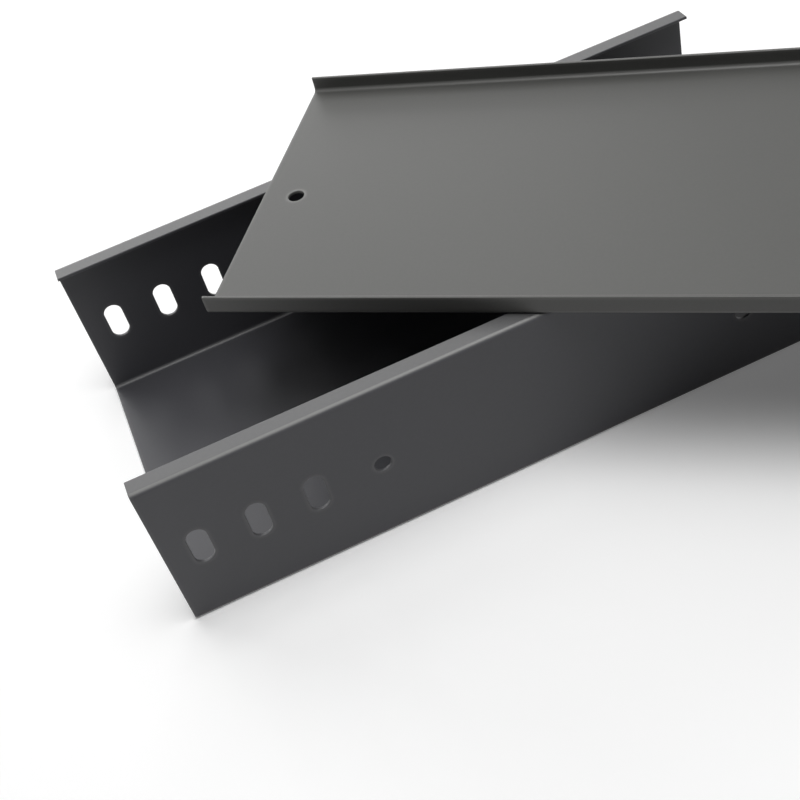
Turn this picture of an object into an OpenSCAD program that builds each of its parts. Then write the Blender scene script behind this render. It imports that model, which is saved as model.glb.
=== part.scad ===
// Sheet-steel cable trunking: a lipped channel with slotted ends, and the lid that fits over it.
// X runs along the channel, Z is up, and the origin is the middle of the channel's underside.
// The lid lies upside down across the channel, its flanges up.

/* [Channel] */
// Outside width of the channel
channel_w = 103; // [60:1:300]
// Outside height of the side walls
channel_h = 50; // [40:1:150]
// Length of the channel and of its lid
channel_len = 207.5; // [180:0.5:3000]
// Sheet thickness of the channel
channel_t = 1; // [0.8:0.1:2]
// Inside radius of the channel's bends
channel_bend_r = 0.3; // [0.2:0.1:2]
// Width of the return flanges along the top of the walls
flange_w = 5.7; // [5:0.1:15]

/* [Coupling slots] */
// Number of slots at each end of a side wall
slot_count = 3; // [1:1:3]
// Width of a slot, along the channel
slot_w = 5.5; // [4:0.5:9]
// Length of a slot, up the wall
slot_len = 12; // [10:0.5:16]
// Distance from the channel's end to the middle of the first slot
slot_inset = 9.8; // [7:0.1:12]
// Distance between the middles of neighbouring slots
slot_pitch = 16; // [12:0.1:18]
// Height of the slots and round holes above the underside
hole_row_z = 24.8; // [14:0.1:28]

/* [Round holes] */
// Diameter of the round hole in each side wall
wall_hole_d = 4.8; // [3:0.1:8]
// Distance from the channel's left end to the middle of the round holes
wall_hole_inset = 60.3; // [58:0.1:80]

/* [Lid] */
// Sheet thickness of the lid
lid_t = 1; // [0.8:0.1:1.5]
// Gap between a lid flange and the channel wall that it fits over
lid_gap = 0.2; // [0.1:0.05:1]
// Inside radius of the lid's bends
lid_bend_r = 0.3; // [0.2:0.1:1.5]
// Height of the lid's flanges, from the outside of its plate
lid_flange_h = 5.7; // [4:0.1:20]
// Diameter of the screw hole at each end of the lid
lid_hole_d = 4.8; // [3:0.1:8]
// Distance from the lid's end to the middle of its screw hole
lid_hole_inset = 10.5; // [6:0.1:30]
// Distance of the screw holes from the lid's middle line
lid_hole_offset = 3; // [0:0.1:10]

/* [How the lid lies] */
// Turn of the lid across the channel, in degrees
lid_turn = -35.8; // [-60:0.1:60]
// Distance of the lid's middle from the channel's middle, along the channel
lid_shift_x = 46.5; // [-60:0.1:60]
// Distance of the lid's middle from the channel's middle, across the channel
lid_shift_y = -15.7; // [-25:0.1:25]

/* [Hidden] */
$fn = 64;
// Extra length of a cutter past the faces that it cuts
past = 1;
// Opening between the two return flanges
mouth_w = channel_w - 2 * flange_w;
// The lid's plate takes the channel, the two gaps and its own two flanges
lid_w = channel_w + 2 * (lid_gap + lid_t);
steel_grey = [0.30, 0.30, 0.31];
lid_grey = [0.42, 0.42, 0.41];

// Rectangle with round corners, standing on the X axis and centred on it
module round_rect(w, h, r) {
  translate([-w / 2 + r, 0]) square([w - 2 * r, h]);
  translate([-w / 2, r]) square([w, h - 2 * r]);
  for (x = [-w / 2 + r, w / 2 - r], y = [r, h - r])
    translate([x, y]) circle(r);
}

// Closed box of bent sheet, w by h outside
module bent_box(w, h, t, bend_r) {
  difference() {
    round_rect(w, h, bend_r + t);
    translate([0, t]) round_rect(w - 2 * t, h - 2 * t, bend_r);
  }
}

// Carries a section, drawn across Y and up Z, along X
module along_x(len) {
  rotate([90, 0, 90]) linear_extrude(len, center = true) children();
}

// Floor, two walls and the return flanges that narrow the mouth
module channel_section() {
  difference() {
    bent_box(channel_w, channel_h, channel_t, channel_bend_r);
    translate([-mouth_w / 2, channel_h / 2]) square([mouth_w, channel_h]);
  }
}

// Plate with a flange turned up along each long edge
module lid_section() {
  difference() {
    bent_box(lid_w, 2 * lid_flange_h, lid_t, lid_bend_r);
    translate([-lid_w / 2 - past, lid_flange_h]) square([lid_w + 2 * past, lid_flange_h + past]);
  }
}

// Round cutter across both walls
module wall_drill(d) {
  rotate([90, 0, 0]) cylinder(h = channel_w + 2 * past, d = d, center = true);
}

// Upright slot cutter across both walls
module wall_slot() {
  rise = (slot_len - slot_w) / 2;
  for (z = [-rise, rise]) translate([0, 0, z]) wall_drill(slot_w);
  cube([slot_w, channel_w + 2 * past, 2 * rise], center = true);
}

// Row of slots at one end; the other end is its mirror image
module end_slots() {
  for (i = [0 : slot_count - 1])
    translate([slot_inset + i * slot_pitch - channel_len / 2, 0, hole_row_z]) wall_slot();
}

module channel() {
  color(steel_grey) difference() {
    along_x(channel_len) channel_section();
    end_slots();
    mirror([1, 0, 0]) end_slots();
    translate([wall_hole_inset - channel_len / 2, 0, hole_row_z]) wall_drill(wall_hole_d);
  }
}

// Lid in its own place: underside on Z = 0, flanges up
module lid_plate() {
  difference() {
    along_x(channel_len) lid_section();
    for (side = [-1, 1])
      translate([side * (channel_len / 2 - lid_hole_inset), -lid_hole_offset, -past])
        cylinder(h = lid_t + 2 * past, d = lid_hole_d);
  }
}

// Lid laid across the channel's flanges
module lid() {
  color(lid_grey) translate([lid_shift_x, lid_shift_y, channel_h]) rotate([0, 0, lid_turn]) lid_plate();
}

channel();
lid();
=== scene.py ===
"""Powder-coated sheet-steel cable trunking: a lipped channel and its lid, dressed for the render.

The channel stands on a pale floor and the lid lies upside down across it, flanges up. Each is bent
from one flat blank, so each is worked out as a developed sheet and then carried round its bends.
A point of a sheet is (p, q, o): p runs across the blank, q along it and o through its thickness.
Sheet sizes are in millimetres, and a mesh is written in metres.
"""

import logging
import math
from dataclasses import dataclass
from enum import Enum

import bpy
import numpy as np
from mathutils import Matrix, Vector


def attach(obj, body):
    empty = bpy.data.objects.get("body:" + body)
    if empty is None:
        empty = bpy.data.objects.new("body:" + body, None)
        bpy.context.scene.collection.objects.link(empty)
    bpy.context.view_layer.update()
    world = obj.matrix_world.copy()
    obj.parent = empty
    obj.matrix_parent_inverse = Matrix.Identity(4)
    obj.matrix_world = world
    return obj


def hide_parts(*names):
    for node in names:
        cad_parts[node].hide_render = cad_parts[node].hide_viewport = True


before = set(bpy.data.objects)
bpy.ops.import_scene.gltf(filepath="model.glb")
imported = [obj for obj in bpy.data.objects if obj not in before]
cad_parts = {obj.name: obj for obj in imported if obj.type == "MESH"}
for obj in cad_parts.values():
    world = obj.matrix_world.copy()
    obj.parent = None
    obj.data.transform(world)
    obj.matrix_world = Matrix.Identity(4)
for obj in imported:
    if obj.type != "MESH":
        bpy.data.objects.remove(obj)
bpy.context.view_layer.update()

LOG = logging.getLogger("trunking")
MM = 0.001
QUARTER = math.pi / 2
# Decimals of a millimetre that tell two grid lines, or two points that are welded, apart.
LINE_DECIMALS = 6
WELD_DECIMALS = 5
# Blender's noise mostly stays between these values.
NOISE_RANGE = {"From Min": 0.3, "From Max": 0.7}


class Side(Enum):
    """The two skins of a sheet, by the sign of their offset from its middle."""

    INNER = 1.0
    OUTER = -1.0


def linear(hex_colour: str) -> tuple[float, float, float, float]:
    """Turns an sRGB hex colour into linear red, green, blue and alpha.

    Args:
        hex_colour: Six hex digits after a hash sign.

    Returns:
        The colour as Blender's sockets take it.
    """
    srgb = np.array([int(hex_colour[i : i + 2], 16) / 255 for i in (1, 3, 5)])
    low = srgb / 12.92
    high = ((srgb + 0.055) / 1.055) ** 2.4
    red, green, blue = np.where(srgb <= 0.04045, low, high)
    return float(red), float(green), float(blue), 1.0


def add_node(
    tree: bpy.types.NodeTree,
    kind: str,
    settings: dict[str, object] | None = None,
    inputs: dict[str | int, object] | None = None,
) -> bpy.types.Node:
    """Adds one node, with its settings, its constant inputs and its links.

    Args:
        tree: The node tree that it goes into.
        kind: Blender's name for the node's type.
        settings: Properties of the node.
        inputs: Input sockets by name or number. An output socket given for one is linked to it, and
            anything else is its value.

    Returns:
        The new node.
    """
    node = tree.nodes.new(kind)
    for name, value in (settings or {}).items():
        setattr(node, name, value)
    for name, value in (inputs or {}).items():
        if isinstance(value, bpy.types.NodeSocket):
            tree.links.new(value, node.inputs[name])
        else:
            node.inputs[name].default_value = value
    return node


@dataclass(frozen=True)
class PowderCoat:
    """Polyester powder coat on sheet steel, sprayed dry and baked.

    The melted powder leaves a satin skin with a faint orange peel and a fine mottle, and its tone and
    gloss drift slightly over a hand's width. It is drawn paler at cut edges and round holes, where it
    draws thin and where the paleness is also a painted highlight. In the inside of bends the paleness
    is a painted highlight, and on the flanges and their bends' crowns it is painted sheen and
    highlight.
    """

    name: str
    colour: str
    pale_colour: str
    roughness: float = 0.45
    roughness_drift: float = 0.03
    specular: float = 0.5
    drift_mm: float = 60.0
    tone_drift: float = 0.04
    # Drawn as coarse as the render can show: the real mottle is finer.
    mottle_mm: float = 0.8
    mottle_depth: float = 0.03
    peel_mm: float = 1.3
    peel_depth_mm: float = 0.004

    def material(self) -> bpy.types.Material:
        """Builds the material: noises give tone, gloss and relief, and the sheet says where it is
        painted pale.

        Returns:
            A node material on object coordinates and the sheet's attribute of thin coat and highlight.
        """
        made = bpy.data.materials.new(self.name)
        made.use_nodes = True
        tree = made.node_tree
        tree.nodes.clear()
        place = add_node(tree, "ShaderNodeTexCoord").outputs["Object"]
        drift, mottle, peel = (
            add_node(
                tree,
                "ShaderNodeTexNoise",
                inputs={"Vector": place, "Scale": 1 / (size * MM), "Detail": detail},
            ).outputs["Fac"]
            for size, detail in ((self.drift_mm, 2.0), (self.mottle_mm, 3.0), (self.peel_mm, 1.5))
        )
        tone, speck, gloss = (
            add_node(
                tree,
                "ShaderNodeMapRange",
                inputs={
                    "Value": noise,
                    **NOISE_RANGE,
                    "To Min": middle - reach,
                    "To Max": middle + reach,
                },
            ).outputs["Result"]
            for noise, middle, reach in (
                (drift, 1.0, self.tone_drift),
                (mottle, 1.0, self.mottle_depth),
                (drift, self.roughness, self.roughness_drift),
            )
        )
        shade = add_node(tree, "ShaderNodeMath", {"operation": "MULTIPLY"}, {0: tone, 1: speck})
        pale = add_node(tree, "ShaderNodeAttribute", {"attribute_name": "pale_coat_and_highlight"})
        # Pale colour mixed in where the sheet says: thin coat at cuts, painted highlight and sheen on
        # bends and flanges.
        coat = add_node(
            tree,
            "ShaderNodeMix",
            {"data_type": "RGBA"},
            {"Factor": pale.outputs["Fac"], "A": linear(self.colour), "B": linear(self.pale_colour)},
        )
        colour = add_node(
            tree,
            "ShaderNodeMix",
            {"data_type": "RGBA", "blend_type": "MULTIPLY"},
            {"Factor": 1.0, "A": coat.outputs["Result"], "B": shade.outputs["Value"]},
        )
        relief = add_node(
            tree,
            "ShaderNodeBump",
            inputs={"Strength": 1.0, "Distance": self.peel_depth_mm * MM, "Height": peel},
        )
        surface = add_node(
            tree,
            "ShaderNodeBsdfPrincipled",
            inputs={
                "Base Color": colour.outputs["Result"],
                "Roughness": gloss,
                "Specular IOR Level": self.specular,
                "Normal": relief.outputs["Normal"],
            },
        )
        add_node(tree, "ShaderNodeOutputMaterial", inputs={"Surface": surface.outputs["BSDF"]})
        return made


@dataclass(frozen=True)
class Hole:
    """A hole punched through the flat blank: round, or a slot that is longer across the blank."""

    across: float
    along: float
    width: float
    length: float
    margin: float = 2.5

    @property
    def rise(self) -> float:
        """Half the distance between the middles of a slot's two round ends."""
        return (self.length - self.width) / 2

    @property
    def half_along(self) -> float:
        """Half the width of the block of mesh round the hole."""
        return self.width / 2 + self.margin


@dataclass(frozen=True)
class Section:
    """Middle line of a bent sheet's section: flats, with a quarter turn to the left between them."""

    start: tuple[float, float]
    heading: float
    flats: tuple[float, ...]
    bend_r: float

    def lengths(self) -> np.ndarray:
        """Lists the lengths of flats and bends, a bend's being its radius times a quarter turn.

        Returns:
            The length of each run, in turn along the line.
        """
        runs = np.full(2 * len(self.flats) - 1, self.bend_r * QUARTER)
        runs[::2] = self.flats
        return runs

    def breaks(self) -> np.ndarray:
        """Returns p at the start of each run, and at the end of the last."""
        return np.concatenate(([0.0], np.cumsum(self.lengths())))

    def gathered(self, p: np.ndarray, inner_r: float, fillet_r: float) -> np.ndarray:
        """Gives the depth of the coat that gathers on the inner skin, in and beside the bends.

        The coat rounds a bend's inside from its own radius r to the fillet radius R. On a flat, at the
        distance d from the bend, its face stands above the skin by R less the root of R squared minus
        (R - r - d) squared. In the bend, it stands above it by r less the reach from the bend's centre
        to the fillet.

        Args:
            p: Distances along the middle line.
            inner_r: The bend's inside radius.
            fillet_r: The fillet's radius.

        Returns:
            The depth at each p, 0 away from the bends.
        """
        starts = self.breaks()
        more = fillet_r - inner_r
        depth = np.zeros_like(p)
        for first, last in zip(starts[1:-1:2], starts[2:-1:2]):
            off = np.maximum(first - p, p - last)
            beside = np.clip(more - off, 0.0, more)
            on_flat = fillet_r - np.sqrt(fillet_r**2 - beside**2)
            angle = (p - first) / self.bend_r
            lean = more * (np.cos(angle) + np.sin(angle))
            in_bend = inner_r + lean - np.sqrt(np.maximum(lean**2 - 2 * more**2 + fillet_r**2, 0.0))
            depth += np.where(off > 0, np.where(off < more, on_flat, 0.0), in_bend)
        return depth

    def at(self, p: np.ndarray) -> tuple[np.ndarray, np.ndarray, np.ndarray, np.ndarray]:
        """Gives the middle line at p.

        A flat goes straight on in its heading. A bend goes round a circle, so its heading turns by
        the arc length over the radius, and its place is the difference of the sines and cosines.

        Args:
            p: Distances along the middle line.

        Returns:
            Y, Z, and the two parts of the left-hand normal, at each p.
        """
        starts = self.breaks()
        runs = np.arange(len(starts) - 1)
        turn = self.heading + QUARTER * (runs // 2)
        bends = runs % 2 == 1
        length = self.lengths()
        bend_y = self.bend_r * (np.sin(turn + QUARTER) - np.sin(turn))
        bend_z = self.bend_r * (np.cos(turn) - np.cos(turn + QUARTER))
        step_y = np.where(bends, bend_y, length * np.cos(turn))
        step_z = np.where(bends, bend_z, length * np.sin(turn))
        first_y = self.start[0] + np.concatenate(([0.0], np.cumsum(step_y)[:-1]))
        first_z = self.start[1] + np.concatenate(([0.0], np.cumsum(step_z)[:-1]))
        run = np.clip(np.searchsorted(starts, p, side="right") - 1, 0, len(runs) - 1)
        gone = p - starts[run]
        base = turn[run]
        now = base + np.where(bends[run], gone / self.bend_r, 0.0)
        arc_y = self.bend_r * (np.sin(now) - np.sin(base))
        arc_z = self.bend_r * (np.cos(base) - np.cos(now))
        y = first_y[run] + np.where(bends[run], arc_y, gone * np.cos(base))
        z = first_z[run] + np.where(bends[run], arc_z, gone * np.sin(base))
        return y, z, -np.sin(now), np.cos(now)


def quads(rows: int, columns: int, closed: bool, flip: bool) -> np.ndarray:
    """Numbers the four corners of each face of a grid of points, row after row.

    Args:
        rows: Points along the first parameter.
        columns: Points along the second parameter.
        closed: Whether the last column joins the first.
        flip: Whether the faces look the other way.

    Returns:
        One row of four point numbers for each face.
    """
    row, column = np.meshgrid(
        np.arange(rows - 1), np.arange(columns if closed else columns - 1), indexing="ij"
    )
    onward = (column + 1) % columns
    here, below = row * columns, (row + 1) * columns
    corners = (here + column, below + column, below + onward, here + onward)
    faces = np.stack(corners, axis=-1).reshape(-1, 4)
    return faces[:, ::-1] if flip else faces


def spread(start: float, end: float, step: float, guard: float) -> np.ndarray:
    """Spaces grid lines evenly over a flat, with one more close to each end to keep its shading flat.

    Args:
        start: Where the flat starts.
        end: Where it ends.
        step: The widest spacing.
        guard: Distance of the close lines from the ends.

    Returns:
        The lines, ends included.
    """
    count = max(1, math.ceil((end - start) / step))
    even = np.linspace(start, end, count + 1)
    return np.unique(np.concatenate((even, [start + guard, end - guard])))


def round_trip(lines_p: np.ndarray, lines_q: np.ndarray) -> tuple[np.ndarray, np.ndarray]:
    """Walks once round the rectangle that grid lines bound, through every line's end.

    Args:
        lines_p: Lines across the blank.
        lines_q: Lines along the blank.

    Returns:
        Points (p, q) round the rectangle, and at each the direction out of it, diagonal at a corner.
    """
    low_p, high_p = lines_p[0], lines_p[-1]
    low_q, high_q = lines_q[0], lines_q[-1]
    p = np.concatenate(
        (
            np.full(len(lines_q) - 1, low_p),
            lines_p[:-1],
            np.full(len(lines_q) - 1, high_p),
            lines_p[:0:-1],
        )
    )
    q = np.concatenate(
        (
            lines_q[:-1],
            np.full(len(lines_p) - 1, high_q),
            lines_q[:0:-1],
            np.full(len(lines_p) - 1, low_q),
        )
    )
    out_p = (p == high_p).astype(float) - (p == low_p)
    out_q = (q == high_q).astype(float) - (q == low_q)
    return np.stack((p, q), axis=-1), np.stack((out_p, out_q), axis=-1)


@dataclass(frozen=True)
class WearAndHighlight:
    """How pale the coat looks at each kind of place: 0 as it was sprayed, 1 at its palest.

    Edge is the skin beside the outer cut, rim is that cut, and hole is a punched hole's cut and the
    skin beside it: there the coat draws thin, and the paleness is also a painted highlight. Bend is the
    inside of a bend, drawn pale as a painted highlight. Flange and shoulder are the outer skin of a
    flange and the crown of its bend, drawn pale as painted sheen and a painted highlight. The reach
    says how far from a cut the skin is pale.
    """

    reach_mm: float = 0.55
    edge: float = 0.12
    rim: float = 0.12
    hole: float = 0.2
    bend: float = 0.65
    flange: float = 0.0
    shoulder_highlight: float = 0.2


@dataclass(frozen=True)
class Patch:
    """A grid of a sheet's points (p, q, o), its faces, and how pale the coat is drawn at each point."""

    points: np.ndarray
    faces: np.ndarray
    pale: np.ndarray


@dataclass(frozen=True)
class BentSheet:
    """A sheet of even thickness, punched as a flat blank and bent along straight lines."""

    section: Section
    length: float
    thickness: float
    holes: tuple[Hole, ...]
    wear_and_highlight: WearAndHighlight
    edge_r: float = 0.25
    fillet_r: float = 1.25
    # Fineness of the grid: distances in millimetres, and steps round each curve.
    guard: float = 0.05
    step: float = 8.0
    bend_steps: int = 10
    fillet_steps: int = 4
    hole_steps: int = 6
    slot_steps: int = 3
    rim_steps: int = 4
    # Distances from a cut, in reaches of its paleness, at which the skin beside it is drawn.
    edge_stops: tuple[float, ...] = (0.0, 0.1, 0.5, 1.0, 1.5, 2.0)
    # Parts of a flange's bend at which the painted sheen and highlight change.
    sheen_stops: tuple[float, ...] = (0.0, 0.1, 0.35, 0.65)

    @property
    def width(self) -> float:
        """Width of the flat blank, from edge to edge."""
        return float(self.section.breaks()[-1])

    @property
    def inner_r(self) -> float:
        """Inside radius of the bends."""
        return self.section.bend_r - self.thickness / 2

    @property
    def edge_steps(self) -> np.ndarray:
        """Distances of the edge stops from a cut, in millimetres."""
        return self.wear_and_highlight.reach_mm * np.array(self.edge_stops)

    def hole_lines(self, hole: Hole) -> tuple[np.ndarray, np.ndarray]:
        """Gives the grid lines through a hole's block.

        The lines stand at tangents of even angles from the slot's two centres, so the points that
        they give lie evenly round its ends.

        Args:
            hole: The hole.

        Returns:
            Its lines across and along the blank.
        """
        reach = hole.half_along * np.tan(np.linspace(0, math.pi / 4, self.hole_steps + 1))
        away = hole.rise + reach
        middle = np.linspace(-hole.rise, hole.rise, self.slot_steps + 1)
        across = np.round(hole.across + np.concatenate((-away, middle, away)), LINE_DECIMALS)
        along = np.round(hole.along + np.concatenate((-reach, reach)), LINE_DECIMALS)
        return np.unique(across), np.unique(along)

    def band(self, across: float) -> np.ndarray:
        """Returns the lines across the blank that all holes at one p share, those of the longest."""
        in_line = (hole for hole in self.holes if hole.across == across)
        return self.hole_lines(max(in_line, key=lambda hole: hole.length))[0]

    def lines_across(self) -> np.ndarray:
        """Sets out the grid lines across the blank.

        Returns:
            The lines of its edges, its bends, its flats and the bands that the holes lie in.
        """
        ends = self.section.breaks()
        ends[0] += self.edge_r
        ends[-1] -= self.edge_r
        beside_bend = np.linspace(0.0, self.fillet_r - self.inner_r, self.fillet_steps + 1)[1:]
        made = [ends[0] + self.edge_steps, ends[-1] - self.edge_steps]
        for run, (start, end) in enumerate(zip(ends[:-1], ends[1:])):
            if run % 2 == 1:
                bend = np.linspace(start, end, self.bend_steps + 1)
                made += [bend, start - beside_bend, end + beside_bend]
                continue
            stops = [start]
            for across in sorted({hole.across for hole in self.holes if start < hole.across < end}):
                band = self.band(across)
                made.append(band)
                stops += [band[0], band[-1]]
            stops.append(end)
            made += [spread(a, b, self.step, self.guard) for a, b in zip(stops[::2], stops[1::2])]
        return np.unique(np.round(np.concatenate(made), LINE_DECIMALS))

    def lines_along(self) -> np.ndarray:
        """Sets out the grid lines along the blank.

        Returns:
            The lines of its ends, of the holes' blocks and of what lies between.
        """
        first, last = self.edge_r, self.length - self.edge_r
        blocks = {hole.along: self.hole_lines(hole)[1] for hole in self.holes}
        made = [first + self.edge_steps, last - self.edge_steps]
        stops = [first]
        for along in sorted(blocks):
            made.append(blocks[along])
            stops += [blocks[along][0], blocks[along][-1]]
        stops.append(last)
        made += [spread(a, b, self.step, self.guard) for a, b in zip(stops[::2], stops[1::2])]
        return np.unique(np.round(np.concatenate(made), LINE_DECIMALS))

    def thin_coat_and_highlight(self, off: np.ndarray) -> np.ndarray:
        """Returns the paleness by distance from a cut, thin coat and painted highlight: a bell curve, 1
        beside it.
        """
        return np.exp(-((off / self.wear_and_highlight.reach_mm) ** 2))

    def flange_sheen(self, p: np.ndarray) -> np.ndarray:
        """Tells how pale the outer skin is painted: a flange as painted sheen, more its bend's shoulder
        as highlight.

        Straight lines join the flange's value, the shoulder's over the bend's first third, and 0 by
        two thirds of the bend.

        Args:
            p: Distances across the blank.

        Returns:
            Values from 0 to 1.
        """
        first, last = self.section.breaks()[1:3]
        stops = first + (last - first) * np.array(self.sheen_stops)
        values = (self.wear_and_highlight.flange, self.wear_and_highlight.shoulder_highlight, self.wear_and_highlight.shoulder_highlight, 0.0)
        return np.interp(np.minimum(p, self.width - p), stops, values)

    def skins(self, lines_p: np.ndarray, lines_q: np.ndarray) -> list[Patch]:
        """Lays the grid on both skins of the sheet, open at the holes' blocks.

        The coat is pale beside the cut edges, where it draws thin and which is also a painted
        highlight. On the inner skin it is pale in the bends as a painted highlight, as far as it
        gathers there, and on the outer skin as painted sheen on the flanges and a painted highlight on
        their shoulders.

        Args:
            lines_p: All grid lines across the blank.
            lines_q: All grid lines along the blank.

        Returns:
            A patch for each skin.
        """
        p, q = np.meshgrid(lines_p, lines_q, indexing="ij")
        from_sides = np.minimum(p - lines_p[0], lines_p[-1] - p)
        from_ends = np.minimum(q - lines_q[0], lines_q[-1] - q)
        beside_edge = self.wear_and_highlight.edge * self.thin_coat_and_highlight(np.minimum(from_sides, from_ends))
        fillet = self.section.gathered(p, self.inner_r, self.fillet_r)
        # Inner skin: painted highlight in the bends. Outer skin: painted sheen and highlight on the
        # flanges.
        pale = {
            Side.INNER: np.maximum(beside_edge, self.wear_and_highlight.bend * fillet / fillet.max()),
            Side.OUTER: np.maximum(beside_edge, self.flange_sheen(p)),
        }
        mid_p = (lines_p[:-1] + lines_p[1:])[:, None] / 2
        mid_q = (lines_q[:-1] + lines_q[1:])[None, :] / 2
        solid = np.ones((len(lines_p) - 1, len(lines_q) - 1), bool)
        for hole in self.holes:
            in_band = np.abs(mid_p - hole.across) < np.ptp(self.band(hole.across)) / 2
            solid &= ~(in_band & (np.abs(mid_q - hole.along) < hole.half_along))
        made = []
        for side in Side:
            layer = np.full_like(p, side.value * self.thickness / 2)
            faces = quads(*p.shape, closed=False, flip=side is Side.INNER)
            made.append(Patch(np.stack((p, q, layer), axis=-1), faces[solid.reshape(-1)], pale[side]))
        return made

    def block_outline(
        self, hole: Hole, lines_p: np.ndarray, lines_q: np.ndarray
    ) -> tuple[np.ndarray, np.ndarray, np.ndarray]:
        """Matches the outline of a hole's block with the hole.

        Each point of the block looks at the nearest point of the line between the slot's two
        centres, and the hole's own point lies on that way.

        Args:
            hole: The hole.
            lines_p: All grid lines across the blank.
            lines_q: All grid lines along the blank.

        Returns:
            The block's points, the centres that they look at, and the directions from those to them.
        """
        band_p, band_q = self.band(hole.across), self.hole_lines(hole)[1]
        inside_p = lines_p[(lines_p >= band_p[0]) & (lines_p <= band_p[-1])]
        inside_q = lines_q[(lines_q >= band_q[0]) & (lines_q <= band_q[-1])]
        points, _ = round_trip(inside_p, inside_q)
        away = points - (hole.across, hole.along)
        centre = np.stack((np.clip(away[:, 0], -hole.rise, hole.rise), np.zeros(len(away))), axis=-1)
        facing = away - centre
        facing /= np.linalg.norm(facing, axis=1, keepdims=True)
        return points, centre + (hole.across, hole.along), facing

    def cut(self, skin_edge: np.ndarray, outward: np.ndarray, pale: float, flip: bool) -> Patch:
        """Carries the profile of a cut edge along the line where the skins' flats end.

        The profile goes from the outer skin round to the inner one: two quarter circles of the edge
        radius join the skins to the straight cut between them.

        Args:
            skin_edge: Points (p, q) of the line.
            outward: Direction out of the sheet at each point.
            pale: How pale the coat is drawn on the cut, thin coat and painted highlight.
            flip: Whether the faces look the other way.

        Returns:
            The patch, closed round the line.
        """
        angle = np.linspace(0, QUARTER, self.rim_steps + 1)
        quarter = self.edge_r * np.sin(angle)
        drop = self.thickness / 2 - self.edge_r * (1 - np.cos(angle))
        out = np.concatenate((quarter, quarter[::-1]))[:, None, None]
        offset = np.concatenate((-drop, drop[::-1]))[:, None, None]
        path = skin_edge + outward * out
        shape = path.shape[:2]
        points = np.concatenate((path, np.broadcast_to(offset, (*shape, 1))), axis=2)
        return Patch(points, quads(*shape, closed=True, flip=flip), np.full(shape, pale))

    def hole_patches(self, hole: Hole, lines_p: np.ndarray, lines_q: np.ndarray) -> list[Patch]:
        """Fills a hole's block on each skin with rings round the hole, and lines the hole with its cut.

        A ring stands off the hole by the distance of its edge stop, and the last one is the block's
        outline.

        Args:
            hole: The hole.
            lines_p: All grid lines across the blank.
            lines_q: All grid lines along the blank.

        Returns:
            A patch for each skin and one for the cut.
        """
        block, centre, facing = self.block_outline(hole, lines_p, lines_q)
        edge = centre + facing * (hole.width / 2 + self.edge_r)
        rings = np.concatenate((edge + facing * self.edge_steps[:, None, None], block[None]))
        shape = rings.shape[:2]
        # Round the hole the coat is drawn paler: thin coat, with a painted highlight ring.
        beside_hole = self.wear_and_highlight.hole * self.thin_coat_and_highlight(np.append(self.edge_steps, hole.margin))
        pale = np.broadcast_to(beside_hole[:, None], shape)
        made = []
        for side in Side:
            layer = np.full((*shape, 1), side.value * self.thickness / 2)
            faces = quads(*shape, closed=True, flip=side is Side.OUTER)
            made.append(Patch(np.concatenate((rings, layer), axis=2), faces, pale))
        made.append(self.cut(edge, -facing, self.wear_and_highlight.hole, flip=False))
        return made

    def welded(self) -> Patch:
        """Works out the whole flat sheet and joins its patches where their points meet.

        Returns:
            The skins, the holes and the outer cut as one patch, with only the points that it uses.
        """
        lines_p, lines_q = self.lines_across(), self.lines_along()
        patches = self.skins(lines_p, lines_q)
        for hole in self.holes:
            patches += self.hole_patches(hole, lines_p, lines_q)
        patches.append(self.cut(*round_trip(lines_p, lines_q), self.wear_and_highlight.rim, flip=True))
        starts = np.cumsum([0] + [patch.pale.size for patch in patches])
        points = np.concatenate([patch.points.reshape(-1, 3) for patch in patches])
        faces = np.concatenate([patch.faces + start for patch, start in zip(patches, starts)])
        pale = np.concatenate([patch.pale.reshape(-1) for patch in patches])
        used, corner = np.unique(faces, return_inverse=True)
        places = np.round(points[used], WELD_DECIMALS)
        _, first, number = np.unique(places, axis=0, return_index=True, return_inverse=True)
        kept = used[first]
        return Patch(points[kept], number.reshape(-1)[corner.reshape(faces.shape)], pale[kept])

    def bent(self, flat: np.ndarray) -> np.ndarray:
        """Carries points of the flat blank round the bends.

        A point goes along X by its q and lies off the section's middle line, at its p, by o times
        the line's normal. The inner skin also carries the coat that gathers in the bends.

        Args:
            flat: Points (p, q, o).

        Returns:
            Points (x, y, z), with x measured from the middle of the sheet's length.
        """
        p, q, o = flat.T
        y, z, normal_y, normal_z = self.section.at(p)
        coat = self.section.gathered(p, self.inner_r, self.fillet_r)
        through = o + coat * np.clip(o * 2 / self.thickness, 0.0, 1.0)
        return np.stack((q - self.length / 2, y + through * normal_y, z + through * normal_z), axis=-1)

    def mesh(self, name: str, turn_deg: float, shift: tuple[float, float, float]) -> bpy.types.Mesh:
        """Bends the sheet and writes it into a mesh, at its place in the part's frame.

        Args:
            name: The mesh's name.
            turn_deg: Turn about the upright axis.
            shift: Move after the turn, in millimetres.

        Returns:
            The mesh, smooth, in metres, with the attribute of thin coat and painted highlight on its
            points.
        """
        flat = self.welded()
        angle = math.radians(turn_deg)
        turn = np.array(
            ((math.cos(angle), -math.sin(angle), 0), (math.sin(angle), math.cos(angle), 0), (0, 0, 1))
        )
        place = self.bent(flat.points) @ turn.T + shift
        made = bpy.data.meshes.new(name)
        made.from_pydata(place * MM, [], flat.faces.tolist())
        pale = made.attributes.new("pale_coat_and_highlight", "FLOAT", "POINT")
        pale.data.foreach_set("value", flat.pale.astype(np.float32))
        made.polygons.foreach_set("use_smooth", np.ones(len(made.polygons), bool))
        made.update()
        return made


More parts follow.
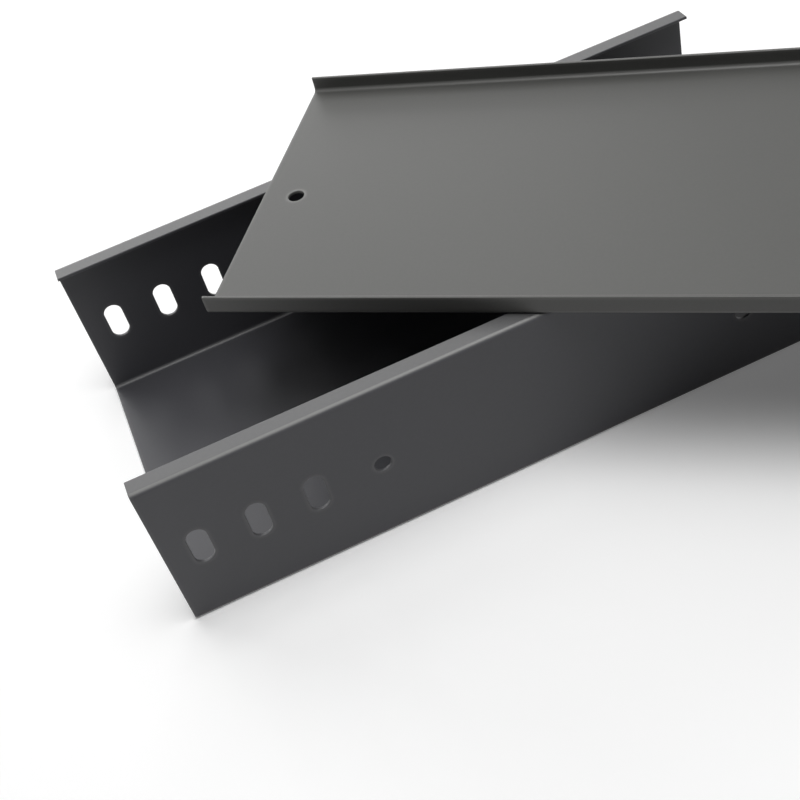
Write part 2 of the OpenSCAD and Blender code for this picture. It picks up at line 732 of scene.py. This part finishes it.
@dataclass(frozen=True)
class Channel:
    """The lipped channel: floor, two walls with slotted ends, and return flanges along the top."""

    finish: PowderCoat
    width: float = 103.0
    height: float = 50.0
    length: float = 207.5
    thickness: float = 1.0
    inner_r: float = 0.3
    flange: float = 5.7
    slot_width: float = 5.5
    slot_length: float = 12.0
    slots_from_end: tuple[float, ...] = (9.8, 25.8, 41.8)
    hole_d: float = 4.8
    hole_from_end: float = 60.3
    holes_z: float = 24.8
    # Flange tops painted paler as sheen, and their bends' crowns as a painted highlight.
    wear_and_highlight: WearAndHighlight = WearAndHighlight(flange=0.45, shoulder_highlight=1.0)

    def sheet(self) -> BentSheet:
        """Lays the channel out flat, from the near flange's lip down, across and up to the far one's.

        Returns:
            The sheet, with slots at both ends of each wall and a round hole past the left ones.
        """
        outer_r = self.inner_r + self.thickness
        section = Section(
            start=(self.flange - self.width / 2, self.height - self.thickness / 2),
            heading=math.pi,
            flats=(
                self.flange - outer_r,
                self.height - 2 * outer_r,
                self.width - 2 * outer_r,
                self.height - 2 * outer_r,
                self.flange - outer_r,
            ),
            bend_r=self.inner_r + self.thickness / 2,
        )
        # The foot of each wall, where its flat meets the bend to the floor.
        near_foot, far_foot = section.breaks()[[3, 6]]
        rise = self.holes_z - outer_r
        rows = (near_foot - rise, far_foot + rise)
        slots = tuple(
            Hole(across, along, self.slot_width, self.slot_length)
            for across in rows
            for from_end in self.slots_from_end
            for along in (from_end, self.length - from_end)
        )
        rounds = tuple(Hole(across, self.hole_from_end, self.hole_d, self.hole_d) for across in rows)
        return BentSheet(section, self.length, self.thickness, slots + rounds, self.wear_and_highlight)

    def build(self) -> bpy.types.Object:
        """Builds the channel, dresses it and lets it stand for the CAD node.

        Returns:
            The finished piece.
        """
        mesh = self.sheet().mesh("channel_sheet", 0.0, (0.0, 0.0, 0.0))
        return settle(mesh, self.finish, "channel")


@dataclass(frozen=True)
class Lid:
    """The lid: a plate with a low flange along each long edge, lying upside down across the channel."""

    finish: PowderCoat
    width: float = 105.4
    length: float = 207.5
    thickness: float = 1.0
    inner_r: float = 0.3
    flange_h: float = 5.7
    hole_d: float = 4.8
    hole_from_end: float = 10.5
    hole_off_middle: float = 3.0
    # Cut edges and holes drawn paler: thin coat, with a painted highlight along them.
    wear_and_highlight: WearAndHighlight = WearAndHighlight(edge=0.4, hole=0.8)
    turn_deg: float = -35.8
    shift: tuple[float, float, float] = (46.5, -15.7, 50.0)

    def sheet(self) -> BentSheet:
        """Lays the lid out flat, from the near flange's top down, across and up to the far one's.

        Returns:
            The sheet, with a screw hole at each end.
        """
        outer_r = self.inner_r + self.thickness
        section = Section(
            start=((self.thickness - self.width) / 2, self.flange_h),
            heading=-QUARTER,
            flats=(self.flange_h - outer_r, self.width - 2 * outer_r, self.flange_h - outer_r),
            bend_r=self.inner_r + self.thickness / 2,
        )
        plate_start = section.breaks()[2]
        middle = plate_start + self.width / 2 - outer_r
        holes = tuple(
            Hole(middle - self.hole_off_middle, along, self.hole_d, self.hole_d)
            for along in (self.hole_from_end, self.length - self.hole_from_end)
        )
        return BentSheet(section, self.length, self.thickness, holes, self.wear_and_highlight)

    def build(self) -> bpy.types.Object:
        """Builds the lid, dresses it and lets it stand for the CAD node.

        Returns:
            The finished piece.
        """
        mesh = self.sheet().mesh("lid_sheet", self.turn_deg, self.shift)
        return settle(mesh, self.finish, "lid")


def settle(mesh: bpy.types.Mesh, finish: PowderCoat, node: str) -> bpy.types.Object:
    """Makes a piece of a mesh and ties it to the frame.

    Args:
        mesh: The piece's mesh, already in place.
        finish: Its coat.
        node: The CAD node that it stands for.

    Returns:
        The piece, riding on the part's one body.
    """
    mesh.materials.append(finish.material())
    piece = bpy.data.objects.new(mesh.name, mesh)
    bpy.context.scene.collection.objects.link(piece)
    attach(piece, "root")
    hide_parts(node)
    return piece


@dataclass(frozen=True)
class SoftBox:
    """A rectangular studio lamp behind a diffuser, placed by its turn from the back and its tilt."""

    name: str
    turn_deg: float
    tilt_deg: float
    size: tuple[float, float]
    power: float
    distance: float = 1.2
    aim: tuple[float, float, float] = (0.0, 0.0, 0.03)

    def build(self) -> None:
        """Adds the lamp, looking at the part."""
        lamp = bpy.data.lights.new(self.name, "AREA")
        lamp.shape = "RECTANGLE"
        lamp.size, lamp.size_y = self.size
        lamp.energy = self.power
        made = bpy.data.objects.new(self.name, lamp)
        bpy.context.scene.collection.objects.link(made)
        turn, tilt = math.radians(self.turn_deg), math.radians(self.tilt_deg)
        level = math.cos(tilt)
        away = Vector((math.sin(turn) * level, math.cos(turn) * level, math.sin(tilt)))
        made.location = away * self.distance + Vector(self.aim)
        made.rotation_euler = away.to_track_quat("Z", "Y").to_euler()


def looked_at(tree: bpy.types.NodeTree) -> bpy.types.NodeSocket:
    """Tells the rays of a look, straight or by way of a shine, from those that carry light.

    Args:
        tree: The node tree that asks.

    Returns:
        A socket that is 1 for camera, glossy and transmission rays and 0 for others.
    """
    path = add_node(tree, "ShaderNodeLightPath")
    seen = add_node(
        tree,
        "ShaderNodeMath",
        {"operation": "ADD"},
        {0: path.outputs["Is Camera Ray"], 1: path.outputs["Is Glossy Ray"]},
    )
    shown = add_node(
        tree,
        "ShaderNodeMath",
        {"operation": "ADD", "use_clamp": True},
        {0: seen.outputs["Value"], 1: path.outputs["Is Transmission Ray"]},
    )
    return shown.outputs["Value"]


@dataclass(frozen=True)
class PaperSweep:
    """Matt white paper rolled out as the studio floor: it scatters light evenly and has no shine.

    To the eye it is lifted towards white, the more the farther off, as the lamps' own light falls off.
    To the part it sends back less and less light towards the right, where the studio is dim.
    """

    name: str = "matt_paper_sweep"
    colour: str = "#fcfcfc"
    lift: float = 0.12
    lift_from: float = 0.4
    lift_to: float = 1.4
    dim_from: float = -0.02
    dim_to: float = 0.12

    def material(self) -> bpy.types.Material:
        """Builds the material.

        Returns:
            A node material on object coordinates.
        """
        made = bpy.data.materials.new(self.name)
        made.use_nodes = True
        tree = made.node_tree
        tree.nodes.clear()
        seen = looked_at(tree)
        white = linear(self.colour)[0]
        place = add_node(tree, "ShaderNodeTexCoord").outputs["Object"]
        right = add_node(tree, "ShaderNodeSeparateXYZ", inputs={"Vector": place})
        away = add_node(tree, "ShaderNodeVectorMath", {"operation": "LENGTH"}, {0: place})
        sent = add_node(
            tree,
            "ShaderNodeMapRange",
            inputs={
                "Value": right.outputs["X"],
                "From Min": self.dim_from,
                "From Max": self.dim_to,
                "To Min": white,
                "To Max": 0.0,
            },
        )
        tone = add_node(
            tree,
            "ShaderNodeMix",
            {"data_type": "FLOAT"},
            {"Factor": seen, "A": sent.outputs["Result"], "B": white},
        )
        paper = add_node(tree, "ShaderNodeBsdfDiffuse", inputs={"Color": tone.outputs["Result"]})
        rise = add_node(
            tree,
            "ShaderNodeMapRange",
            inputs={
                "Value": away.outputs["Value"],
                "From Min": self.lift_from,
                "From Max": self.lift_to,
                "To Min": self.lift,
                "To Max": 1.0,
            },
        )
        lift = add_node(
            tree, "ShaderNodeMath", {"operation": "MULTIPLY"}, {0: seen, 1: rise.outputs["Result"]}
        )
        glow = add_node(tree, "ShaderNodeEmission", inputs={"Strength": lift.outputs["Value"]})
        both = add_node(
            tree, "ShaderNodeAddShader", inputs={0: paper.outputs["BSDF"], 1: glow.outputs["Emission"]}
        )
        add_node(tree, "ShaderNodeOutputMaterial", inputs={"Surface": both.outputs["Shader"]})
        return made


@dataclass(frozen=True)
class Studio:
    """Pale floor, soft light, white surround and the camera."""

    lamps: tuple[SoftBox, ...] = (
        SoftBox("main_softbox", 74.0, 80.0, (0.7, 0.7), 4.9),
        SoftBox("front_softbox", 150.0, 74.0, (0.7, 0.7), 7.2),
        SoftBox("high_back_softbox", 10.0, 50.0, (0.7, 0.7), 2.4),
        SoftBox("back_softbox", 330.0, 22.0, (0.7, 0.3), 4.0),
        SoftBox("low_back_softbox", 2.0, 12.0, (1.1, 0.3), 3.4),
    )
    sweep: PaperSweep = PaperSweep()
    floor_half: float = 3.0
    floor_z: float = -0.0001
    eye: tuple[float, float, float] = (-0.07309, -0.28206, 0.26510)
    gaze: tuple[float, float, float] = (0.12003, 0.71515, -0.68859)
    roll_deg: float = -17.4
    focal_px: float = 1305.0
    image_px: int = 800

    def build(self) -> None:
        """Sets up the floor, the lamps, the surround, the camera and the colour view."""
        self.floor()
        for lamp in self.lamps:
            lamp.build()
        self.world()
        self.camera()
        bpy.context.scene.view_settings.view_transform = "Standard"

    def floor(self) -> None:
        """Lays the floor just under the part, as a square plane."""
        side = np.array((-self.floor_half, self.floor_half))
        x, y = np.meshgrid(side, side, indexing="ij")
        corners = np.stack((x, y, np.full_like(x, self.floor_z)), axis=-1).reshape(-1, 3)
        mesh = bpy.data.meshes.new("studio_floor")
        mesh.from_pydata(corners, [], quads(2, 2, closed=False, flip=False).tolist())
        mesh.materials.append(self.sweep.material())
        floor = bpy.data.objects.new("studio_floor", mesh)
        bpy.context.scene.collection.objects.link(floor)

    def world(self) -> None:
        """Makes the surround white to the eye and in reflections, with no light of its own."""
        world = bpy.data.worlds.new("studio_surround")
        world.use_nodes = True
        tree = world.node_tree
        tree.nodes.clear()
        white = add_node(
            tree,
            "ShaderNodeBackground",
            inputs={"Color": (1.0, 1.0, 1.0, 1.0), "Strength": looked_at(tree)},
        )
        add_node(tree, "ShaderNodeOutputWorld", inputs={"Surface": white.outputs["Background"]})
        bpy.context.scene.world = world

    def camera(self) -> None:
        """Places the camera by its eye, its gaze and the roll about the gaze."""
        lens = bpy.data.cameras.new("camera")
        lens.sensor_width = 36.0
        lens.lens = self.focal_px * lens.sensor_width / self.image_px
        lens.clip_start = 0.01
        made = bpy.data.objects.new("camera", lens)
        bpy.context.scene.collection.objects.link(made)
        level = Vector(self.gaze).to_track_quat("-Z", "Y").to_matrix().to_4x4()
        roll = Matrix.Rotation(math.radians(self.roll_deg), 4, "Z")
        made.matrix_world = Matrix.Translation(Vector(self.eye)) @ level @ roll
        bpy.context.scene.camera = made


def main() -> None:
    """Builds the two pieces, then the studio, and reports each."""
    logging.basicConfig(level=logging.INFO, format="%(name)s: %(message)s")
    # The pale colours draw thin coat at cuts, and painted highlight and sheen on bends and flanges.
    cool_grey = PowderCoat("powder_coat_channel", colour="#3d3d41", pale_colour="#737372")
    warm_grey = PowderCoat("powder_coat_lid", colour="#444442", pale_colour="#6c6c6a")
    for part in (Channel(cool_grey), Lid(warm_grey)):
        piece = part.build()
        LOG.info("%s: %d faces", piece.name, len(piece.data.polygons))
    Studio().build()
    LOG.info("studio ready")


if __name__ == "__main__":
    main()
